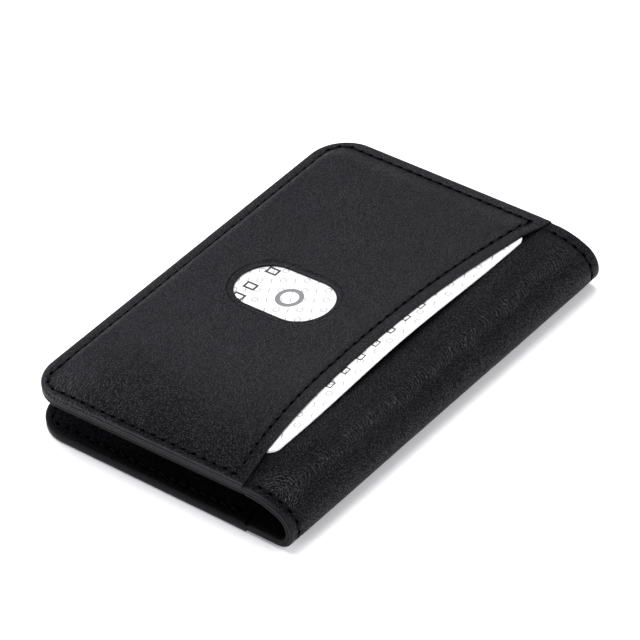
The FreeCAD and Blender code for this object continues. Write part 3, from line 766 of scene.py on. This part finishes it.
def mouth_stitches(height, out, side):
    """Stitches beside one mouth."""
    result = []
    count = int((HALF - ROW) / PITCH)
    for k in range(-count, count):
        v = (k + 0.5) * PITCH
        u = float(mouth_u(v, MOUTH_ROW))
        slope = v / math.sqrt((MOUTH_R + MOUTH_ROW) ** 2 - v**2)
        size = math.hypot(slope, 1)
        result.append(one_stitch(height, u, v, (slope / size, 1 / size), out, side))
    return result


def fold_stitches(low, high):
    """Stitches of the cover's own row between two positions of u."""
    result = []
    along = MOUTH_END + PITCH / 2
    while along < TOTAL - MOUTH_END:
        if low <= along < high:
            for v in (-HALF + ROW, HALF - ROW):
                n = float(cover_outer(np.array(along), np.array(v)))
                result.append((along, v, n, (1.0, 0.0), 1))
        along += PITCH
    return result


# ---------------- materials

# The texture runs in units of 10 mm.
SHOULDER_U = 6.42


def nodes_of(name):
    """A new node material, with its tree and its shader."""
    material = bpy.data.materials.new(name)
    material.use_nodes = True
    tree = material.node_tree
    shader = tree.nodes["Principled BSDF"]
    return material, tree, shader


def add(tree, kind, **inputs):
    """One node, with inputs or properties set by name."""
    node = tree.nodes.new(kind)
    for key, value in inputs.items():
        if key in node.inputs:
            node.inputs[key].default_value = value
        else:
            setattr(node, key, value)
    return node


def noise_node(tree, vector, scale, detail=2.0, rough=0.5):
    """Value of a noise texture."""
    node = add(tree, "ShaderNodeTexNoise", Scale=scale, Detail=detail, Roughness=rough)
    tree.links.new(vector, node.inputs["Vector"])
    return node.outputs["Fac"]


def maths(tree, kind, *values):
    """One math node; each value is a number or a socket."""
    node = add(tree, "ShaderNodeMath", operation=kind)
    for k, value in enumerate(values):
        if isinstance(value, (int, float)):
            node.inputs[k].default_value = value
        else:
            tree.links.new(value, node.inputs[k])
    return node.outputs[0]


def product(tree, first, *others):
    """Numbers and sockets multiplied together."""
    for value in others:
        first = maths(tree, "MULTIPLY", first, value)
    return first


def total(tree, first, *others):
    """Numbers and sockets added together."""
    for value in others:
        first = maths(tree, "ADD", first, value)
    return first


def ramp(tree, value, low, high):
    """Smooth step of a socket between two numbers."""
    node = add(tree, "ShaderNodeMapRange", interpolation_type="SMOOTHSTEP")
    node.inputs["From Min"].default_value = low
    node.inputs["From Max"].default_value = high
    tree.links.new(value, node.inputs["Value"])
    return node.outputs["Result"]


def split_of(tree, where):
    """u and v of a texture position, in units of 10 mm."""
    node = add(tree, "ShaderNodeSeparateXYZ")
    tree.links.new(where, node.inputs[0])
    return node.outputs[0], node.outputs[1]


def two_tone(tree, value, dark, light, low=0.0, high=1.0):
    """Colour that runs from dark to light as a socket runs from low to high."""
    node = add(tree, "ShaderNodeValToRGB")
    first, last = node.color_ramp.elements
    first.position, last.position = low, high
    first.color, last.color = (*dark, 1), (*light, 1)
    tree.links.new(value, node.inputs["Fac"])
    return node.outputs["Color"]


def attach_bump(tree, shader, height, strength, distance):
    """Relief of a material."""
    bump = add(tree, "ShaderNodeBump", Strength=strength, Distance=distance)
    tree.links.new(height, bump.inputs["Height"])
    tree.links.new(bump.outputs["Normal"], shader.inputs["Normal"])


def lines_on(tree, phase, mask, deep, bright):
    """Relief and crest brightness of a family of fine lines."""
    wave = maths(tree, "SINE", product(tree, phase, 2 * math.pi))
    relief = product(tree, wave, mask, deep)
    return relief, product(tree, ramp(tree, wave, 0.1, 0.9), mask, bright)


def shoulder_ripples(tree, where):
    """Short ripples across the shoulder of the fold, a line of them along its whole length."""
    u, v = split_of(tree, where)
    drift = product(tree, noise_node(tree, where, 1.3, 1.0), 0.3)
    off = maths(tree, "SUBTRACT", maths(tree, "SUBTRACT", u, SHOULDER_U), drift)
    lean = product(tree, off, 0.35)
    bend = product(tree, off, off, 2.2)
    jitter = product(tree, noise_node(tree, where, 5.0, 3.0, 0.7), 0.26)
    phase = maths(tree, "DIVIDE", total(tree, v, lean, bend, jitter), 0.08)
    mask = product(
        tree,
        ramp(tree, maths(tree, "ABSOLUTE", off), 0.25, 0.03),
        ramp(tree, noise_node(tree, where, 2.2, 2.0), 0.12, 0.5),
        ramp(tree, noise_node(tree, where, 12.0, 2.0), 0.25, 0.6),
        ramp(tree, maths(tree, "ABSOLUTE", v), 4.85, 4.35),
    )
    return lines_on(tree, phase, mask, 1.7, 2.0)


def end_crinkles(tree, where):
    """Nested arcs of crinkles at the ends of the fold, deepest at the near end."""
    u, v = split_of(tree, where)
    across = maths(tree, "DIVIDE", maths(tree, "SUBTRACT", u, SHOULDER_U), 0.6)
    in_from_row = maths(tree, "SUBTRACT", (HALF - ROW) / 10, maths(tree, "ABSOLUTE", v))
    height = total(tree, in_from_row, 0.16)
    far = total(tree, product(tree, across, across), product(tree, height, height))
    far = maths(tree, "SQRT", far)
    jitter = product(tree, noise_node(tree, where, 4.5, 3.0, 0.68), 0.27)
    phase = maths(tree, "DIVIDE", total(tree, far, jitter), 0.085)
    mask = product(
        tree,
        ramp(tree, far, 1.15, 0.5),
        ramp(tree, in_from_row, 0.02, 0.12),
        ramp(tree, noise_node(tree, where, 14.0, 2.0), 0.36, 0.62),
        total(tree, ramp(tree, v, 0.0, -3.0), 0.12),
    )
    return lines_on(tree, phase, mask, 1.7, 4.0)


def corner_gathers(tree, where):
    """Faint gathers running in from the edge row beside the near corner."""
    u, v = split_of(tree, where)
    jitter = product(tree, noise_node(tree, where, 3.5, 2.0, 0.6), 0.22)
    phase = maths(tree, "DIVIDE", total(tree, u, product(tree, v, 0.25), jitter), 0.07)
    mask = product(
        tree,
        ramp(tree, v, -3.6, -4.6),
        ramp(tree, u, 3.2, 1.4),
        ramp(tree, u, 0.3, 0.6),
        ramp(tree, noise_node(tree, where, 11.0, 2.0), 0.35, 0.65),
    )
    return lines_on(tree, phase, mask, 0.8, 1.1)


def leather(name, base, rough=0.36, coarse=0.7, gloss=0.2, film=0.23, creases=(), handled=1.0):
    """Fine-grained black leather: pebbled grain, pores, faint creases, uneven polish. A handled
    leather is coarser and duller towards the near end."""
    material, tree, shader = nodes_of(name)
    link = tree.links.new
    where = add(tree, "ShaderNodeUVMap", uv_map="leather").outputs[0]
    u, v = split_of(tree, where)
    warp = add(tree, "ShaderNodeTexNoise", Scale=18.0, Detail=2.0)
    link(where, warp.inputs["Vector"])
    warped = add(tree, "ShaderNodeMixRGB", blend_type="ADD")
    warped.inputs[0].default_value = 0.03
    link(where, warped.inputs[1])
    link(warp.outputs["Color"], warped.inputs[2])
    pebbles = []
    for scale, weight in ((17.0, 0.45), (30.0, 0.35)):
        cells = add(tree, "ShaderNodeTexVoronoi", feature="DISTANCE_TO_EDGE", Scale=scale)
        link(warped.outputs[0], cells.inputs["Vector"])
        pebbles.append(product(tree, ramp(tree, cells.outputs["Distance"], 0.0, 0.3), weight))
    pores = ramp(tree, noise_node(tree, where, 42.0, 3.0, 0.6), 0.3, 0.7)
    height = total(tree, *pebbles, product(tree, pores, 0.35))
    near = product(
        tree,
        ramp(tree, v, -2.0, -5.4),
        total(tree, ramp(tree, u, 0.6, 1.8), 0.3),
        ramp(tree, u, 7.2, 6.6),
        handled,
    )
    patches = ramp(tree, noise_node(tree, where, 0.7, 2.0), 0.3, 0.7)
    rim = add(tree, "ShaderNodeAttribute", attribute_name="rim").outputs["Fac"]
    flat = maths(tree, "SUBTRACT", 1.0, product(tree, rim, 0.85))
    strength = total(tree, product(tree, patches, 0.4), coarse, product(tree, near, 0.8))
    strength = product(tree, strength, flat)
    lines = [crease(tree, where) for crease in creases]
    relief = total(tree, product(tree, height, strength), *[depth for depth, crest in lines])
    attach_bump(tree, shader, relief, 1.0, 0.00008)
    # the tops of the pebbles are polished, the valleys between them stay dull
    worn = maths(tree, "SUBTRACT", height, product(tree, near, 0.12))
    tops = product(tree, ramp(tree, worn, 0.35, 0.95), strength)
    tops = total(tree, tops, product(tree, rim, 0.45), *[crest for depth, crest in lines])
    bare = maths(tree, "SUBTRACT", 1.0, product(tree, near, flat, 0.6))
    shine = total(tree, product(tree, tops, gloss), product(tree, bare, film * gloss))
    link(shine, shader.inputs["Specular IOR Level"])

    dark, light = [c * 0.85 for c in base], [c * 1.2 for c in base]
    shades = two_tone(tree, noise_node(tree, where, 0.9, 3.0), dark, light, 0.3, 0.75)
    link(shades, shader.inputs["Base Color"])
    polish = add(tree, "ShaderNodeMapRange")
    polish.inputs["To Min"].default_value = rough - 0.05
    polish.inputs["To Max"].default_value = rough + 0.08
    link(noise_node(tree, where, 9.0, 3.0), polish.inputs["Value"])
    link(polish.outputs["Result"], shader.inputs["Roughness"])
    return material


def thread_material(name, base):
    """Black thread with a fine twist; on the discs at the needle holes the colour is darkened,
    painted shade for the holes.
    """
    material, tree, shader = nodes_of(name)
    link = tree.links.new
    twist = add(tree, "ShaderNodeTexWave", Scale=900.0, Distortion=1.0)
    link(add(tree, "ShaderNodeTexCoord").outputs["Object"], twist.inputs["Vector"])
    attach_bump(tree, shader, twist.outputs["Fac"], 0.6, 0.00005)
    hole = add(tree, "ShaderNodeAttribute", attribute_name="hole").outputs["Fac"]
    # painted shade: the hole discs get the dark end of the thread's colour
    light = maths(tree, "SUBTRACT", twist.outputs["Fac"], hole)
    link(two_tone(tree, light, [c * 0.3 for c in base], base), shader.inputs["Base Color"])
    shader.inputs["Roughness"].default_value = 0.7
    shine = product(tree, maths(tree, "SUBTRACT", 1.0, hole), 0.09)
    link(shine, shader.inputs["Specular IOR Level"])
    return material


def card_material():
    """White plastic card with a pale pattern of small rings and bars; its cut edge is painted
    lighter than its face as painted light.
    """
    material, tree, shader = nodes_of("card_print")
    link = tree.links.new
    where = add(tree, "ShaderNodeUVMap", uv_map="leather").outputs[0]
    u, v = split_of(tree, where)

    def m(kind, *values):
        return maths(tree, kind, *values)

    def between(value, low, high):
        return m("MULTIPLY", m("GREATER_THAN", value, low), m("LESS_THAN", value, high))

    def cell(value, size):
        return m("SUBTRACT", product(tree, m("FRACT", m("DIVIDE", value, size)), size), size / 2)

    def box(a, b, size_a, size_b):
        return m("MULTIPLY", m("LESS_THAN", m("ABSOLUTE", a), size_a),
                 m("LESS_THAN", m("ABSOLUTE", b), size_b))

    def hollow(a, b, size_a, size_b, line):
        return m("SUBTRACT", box(a, b, size_a, size_b), box(a, b, size_a - line, size_b - line))

    def ring(a, b, low, high):
        return between(m("SQRT", total(tree, m("MULTIPLY", a, a), m("MULTIPLY", b, b))), low, high)

    # pale marks on a slanted grid: rings in every other cell, short bars between them
    a = total(tree, product(tree, u, 0.86), product(tree, v, 0.5))
    b = m("SUBTRACT", product(tree, v, 0.86), product(tree, u, 0.5))
    ca, cb = cell(a, 0.5), cell(b, 0.33)
    bars = box(cell(total(tree, a, 0.25), 0.5), total(tree, cb, 0.02), 0.016, 0.08)
    pale = m("MAXIMUM", ring(ca, cb, 0.05, 0.08), bars)
    # a plain ring where a badge would be, and hollow blocks where figures would be
    badge = ring(m("SUBTRACT", u, 2.86), m("SUBTRACT", v, 0.02), 0.2, 0.31)
    row_u = m("SUBTRACT", u, 5.37)
    row = m("SUBTRACT", box(row_u, cell(v, 0.5), 0.07, 0.1), box(row_u, cell(v, 0.5), 0.04, 0.065))
    dark = m("MULTIPLY", row, between(v, -1.9, 1.6))
    for centre_u, centre_v in ((1.9, -0.5), (1.9, -0.09), (1.98, 0.55)):
        block = hollow(m("SUBTRACT", u, centre_u), m("SUBTRACT", v, centre_v), 0.15, 0.11, 0.055)
        dark = m("MAXIMUM", dark, block)
    rim = add(tree, "ShaderNodeAttribute", attribute_name="rim").outputs["Fac"]
    face = ramp(tree, rim, 0.97, 0.9)
    # the card's cut edge gets a lighter colour (0.95) than its face (0.66): painted light on a
    # side the lamps light less
    layers = [(m("SUBTRACT", 1.0, face), 0.95)]
    for mask, shade in ((pale, 0.28), (badge, 0.13), (dark, 0.02)):
        layers.append((m("MULTIPLY", mask, face), shade))
    colour = None
    for mask, shade in layers:
        mix = add(tree, "ShaderNodeMixRGB")
        mix.inputs[1].default_value = (0.66, 0.66, 0.66, 1)
        mix.inputs[2].default_value = (shade, shade, shade * 1.03, 1)
        if colour is not None:
            link(colour, mix.inputs[1])
        link(mask, mix.inputs[0])
        colour = mix.outputs[0]
    link(colour, shader.inputs["Base Color"])
    attach_bump(tree, shader, noise_node(tree, where, 40.0), 0.1, 0.00002)
    shader.inputs["Roughness"].default_value = 0.35
    shader.inputs["Specular IOR Level"].default_value = 0.3
    return material


def board_material():
    """Dull grey-brown board with the speckle and tooth of pressed fibres."""
    material, tree, shader = nodes_of("board_fibre")
    where = add(tree, "ShaderNodeTexCoord").outputs["Object"]
    fibres = noise_node(tree, where, 900.0, 4.0, 0.7)
    shades = two_tone(tree, fibres, (0.07, 0.06, 0.05), (0.15, 0.125, 0.1))
    tree.links.new(shades, shader.inputs["Base Color"])
    attach_bump(tree, shader, fibres, 0.5, 0.00004)
    shader.inputs["Roughness"].default_value = 0.85
    return material


BLACK = (0.0026, 0.0025, 0.0033)
M_POCKET = leather("leather_pocket", BLACK, creases=(corner_gathers,))
M_COVER = leather(
    "leather_cover", BLACK, coarse=0.95, gloss=0.14, film=0.12,
    creases=(shoulder_ripples, end_crinkles),
)
# the inside leathers are coloured darker than BLACK: painted shade for the dim inside of the
# holder
M_INNER = leather("leather_inner", (0.001, 0.001, 0.0012), 0.45, 1.5, 0.085, 0.08, handled=0.0)
M_LINING = leather("leather_lining", (0.0012, 0.0012, 0.0014), 0.45, gloss=0.09, handled=0.0)
M_THREAD = thread_material("thread_black", (0.0013, 0.0013, 0.0016))
M_CARD = card_material()
M_BOARD = board_material()


def finish_piece(thing, material, slot_name, *nodes):
    """Give a piece its material and hide the CAD nodes it stands for; the slot name is not used.
    """
    thing.data.materials.append(material)
    if nodes:
        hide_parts(*nodes)
    return thing


def span_ends(low, high, depth):
    """Start and end of the bend between two positions of u, at a depth inside the leather."""
    start, end = place([low, high], [0, 0], [-depth, -depth])
    return tuple(start), tuple(end)


# ---------------- pocket panels

U, V = panel_plan(EDGE, 0.6)
row_u, row_v = U[:, U.shape[1] // 2], V[U.shape[0] // 2]
block = (
    *np.searchsorted(row_u, [WINDOW[0] - PATCH_U, WINDOW[0] + PATCH_U]).tolist(),
    *np.searchsorted(row_v, [WINDOW[1] - PATCH_V, WINDOW[1] + PATCH_V]).tolist(),
)
grid_quads = quads_of(U.shape, block)
pu, pv, patch_quads = window_patch(U, V, block)
front_pocket = solid(
    "outer_pocket_front_leather", pu, pv, outer_front, under_front,
    lambda u, v: np.minimum(panel_edge(u, v), from_window(u, v) + 0.75),
    quads=np.concatenate([grid_quads, patch_quads]),
)
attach(finish_piece(front_pocket, M_POCKET, "pocket_leather", "outer_pocket_front"), "front")

U, V = panel_plan(EDGE_BACK, 0.9)
back_pocket = solid(
    "outer_pocket_back_leather", U, V, outer_back, under_back, panel_edge, "back"
)
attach(finish_piece(back_pocket, M_POCKET, "pocket_leather", "outer_pocket_back"), "back")

for side in ("front", "back"):
    panel = solid(
        f"inner_pocket_{side}_leather", U, V, inner_hidden, inner_face, panel_edge, side
    )
    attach(finish_piece(panel, M_INNER, "inner_leather", f"inner_pocket_{side}"), side)

# ---------------- cover and facing


def span_solid(kind, number, outer, inner, material, depth, nodes):
    """One of the four sections of a layer, each spanning one hinge."""
    a, b, low, high = SPANS[number]
    if kind == "cover":
        edge, row_edge, fine, spacing = EDGE_COVER, EDGE_BACK, 0.24, 0.42
    else:
        edge, row_edge, fine, spacing = EDGE_LINING, EDGE_LINING, 0.5, 1.2
    if number in (0, 3):
        side = "front" if number == 0 else "back"
        far = high if number == 0 else TOTAL - low
        U, V = half_plan(cover_rows(far, 1.6, fine, row_edge), edge, spacing)
        heights, seam = (outer, inner), high
        if side == "back":
            heights = [lambda u, v, f=f: f(TOTAL - u, v) for f in heights]
            seam = low
        piece = solid(f"{kind}_{side}_leather", U, V, *heights, layer_edge, side, (seam,))
    else:
        rows = [low, low + 0.02] + middle(low, high, 0.24) + [high - 0.02, high]
        U, V = half_plan([CORNER + 1] * len(rows), edge, spacing)
        U = np.repeat(np.array(rows)[:, None], V.shape[1], 1)
        name = f"{kind}_fold_{number}_leather"
        piece = solid(name, U, V, outer, inner, layer_edge, seams=(low, high))
    finish_piece(piece, material, f"{kind}_leather", *nodes)
    start, end = span_ends(low, high, depth)
    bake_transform(piece)
    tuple(start)
    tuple(end)


SPAN_NODES = [["front", "fold_high"], ["fold_mid"], ["fold_low"], ["back"]]
COVER_MIDDLE, LINING_MIDDLE = 0.3, 1.2
for number, names in enumerate(SPAN_NODES):
    for kind, outer, inner, material, depth in (
        ("cover", cover_outer, cover_inner, M_COVER, COVER_MIDDLE),
        ("lining", lining_outer, lining_inner, M_LINING, LINING_MIDDLE),
    ):
        nodes = [f"{kind}_{name}" for name in names]
        span_solid(kind, number, outer, inner, material, depth, nodes)

# ---------------- card

CARD_EDGE = [0, 0.06, 0.16, 0.3, 0.5, 0.8, 1.2, 1.7, 2.3, 3.0]
CARD_SPACING = 1.2
far_edge = [CARD_WIDE - x for x in CARD_EDGE[::-1]]
CU, CV = [], []
for u in CARD_EDGE + middle(CARD_EDGE[-1], far_edge[0], CARD_SPACING) + far_edge:
    past = max(CARD_ROUND - min(u, CARD_WIDE - u), 0)
    limit = CARD_HALF_LONG - CARD_ROUND + math.sqrt(CARD_ROUND**2 - past**2)
    v = v_lines(limit, CARD_EDGE, CARD_SPACING, CARD_HALF_LONG)
    CU.append(np.full(v.shape, u + CARD_LOW_U))
    CV.append(v + CARD_V)
CU, CV = np.array(CU), np.array(CV)
card = solid(
    "insert_card_plastic", CU, CV,
    lambda u, v: CARD_FLOOR + CARD_T + card_rise(u, v) - rounding(card_inside(u, v), 0.08),
    lambda u, v: CARD_FLOOR + card_rise(u, v) + rounding(card_inside(u, v), 0.08),
    card_inside,
)
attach(finish_piece(card, M_CARD, "card_plastic", "insert_card"), "card")

# ---------------- threads

for side, outer in (("front", outer_front), ("back", outer_back)):
    for kind, stitches in (
        ("edge", edge_stitches(outer, 1, side) + edge_stitches(inner_face, -1, side)),
        ("mouth", mouth_stitches(outer, 1, side)),
        ("inner_mouth", mouth_stitches(inner_face, -1, side)),
    ):
        threads = stitch_mesh(f"{kind}_thread_{side}", stitches)
        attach(finish_piece(threads, M_THREAD, "thread", f"{kind}_stitching_{side}"), side)

THREAD_NODES = [["fold_stitching_high"], ["fold_stitching_mid"], ["fold_stitching_low"], []]
for number, (a, b, low, high) in enumerate(SPANS):
    low_u = 0 if number == 0 else low
    high_u = TOTAL if number == 3 else high
    threads = stitch_mesh(f"fold_thread_{number}", fold_stitches(low_u, high_u))
    finish_piece(threads, M_THREAD, "thread", *THREAD_NODES[number])
    start, end = span_ends(low, high, COVER_MIDDLE)
    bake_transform(threads)
    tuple(start)
    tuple(end)

for side in ("front", "back"):
    board = frame["nodes"][f"stiffener_{side}"]
    board.data.materials.clear()
    board.data.materials.append(M_BOARD)

# ---------------- floor, light, camera

bpy.ops.mesh.primitive_plane_add(size=6, location=(0, 0, -0.00002))
floor = bpy.context.object
floor.name = "floor"
material, tree, shader = nodes_of("floor_paper")
shader.inputs["Base Color"].default_value = (0.95, 0.95, 0.95, 1)
shader.inputs["Roughness"].default_value = 0.9
shader.inputs["Specular IOR Level"].default_value = 0.1
floor.data.materials.append(material)


def area_light(name, position, size_x, size_y, power, colour=(1, 1, 1)):
    """A soft rectangular lamp aimed at the holder."""
    data = bpy.data.lights.new(name, "AREA")
    data.shape = "RECTANGLE"
    data.size, data.size_y = size_x, size_y
    data.energy = power
    data.color = colour
    lamp = bpy.data.objects.new(name, data)
    lamp.location = position
    lamp.rotation_mode = "QUATERNION"
    lamp.rotation_quaternion = (Vector((0, 0, 0)) - Vector(position)).to_track_quat("-Z", "Y")
    SCENE.collection.objects.link(lamp)


area_light("overhead", (-0.4, 0.25, 1.25), 1.3, 1.3, 32)
area_light("far_left", (-1.0, 0.5, 0.45), 0.9, 0.5, 2.2, (0.66, 0.66, 1.0))
area_light("near", (-0.2, -1.1, 0.25), 1.2, 0.3, 12.5, (0.95, 0.95, 1.0))
area_light("right", (1.05, 0.1, 0.4), 1.0, 0.4, 6.5, (0.96, 0.96, 1.0))
area_light("far_right", (0.9, 0.85, 0.75), 0.6, 0.5, 8, (0.96, 0.96, 1.0))
world = bpy.data.worlds.new("studio")
SCENE.world = world
world.use_nodes = True
surround = world.node_tree.nodes["Background"]
surround.inputs["Color"].default_value = (1, 1, 1, 1)
surround.inputs["Strength"].default_value = 0.3

AZIMUTH, ELEVATION, ROLL = math.radians(41.87), math.radians(38.86), math.radians(-5.04)
TARGET = Vector((-0.2, 1.4, 6.0)) * MM
DISTANCE = 0.981
level = math.cos(ELEVATION)
back = Vector((math.sin(AZIMUTH) * level, -math.cos(AZIMUTH) * level, math.sin(ELEVATION)))
right = Vector((math.cos(AZIMUTH), math.sin(AZIMUTH), 0))
up = back.cross(right)
right_rolled = math.cos(ROLL) * right + math.sin(ROLL) * up
up_rolled = -math.sin(ROLL) * right + math.cos(ROLL) * up
camera_data = bpy.data.cameras.new("camera")
camera_data.sensor_width = 36
camera_data.lens = 265.5
camera_data.shift_x = 0.001
camera_data.shift_y = 0.0151
camera_data.clip_start = 0.05
camera_data.clip_end = 20
camera = bpy.data.objects.new("camera", camera_data)
rotation = Matrix((right_rolled, up_rolled, back)).transposed().to_4x4()
camera.matrix_world = Matrix.Translation(TARGET + back * DISTANCE) @ rotation
SCENE.collection.objects.link(camera)
SCENE.camera = camera
SCENE.view_settings.view_transform = "Standard"
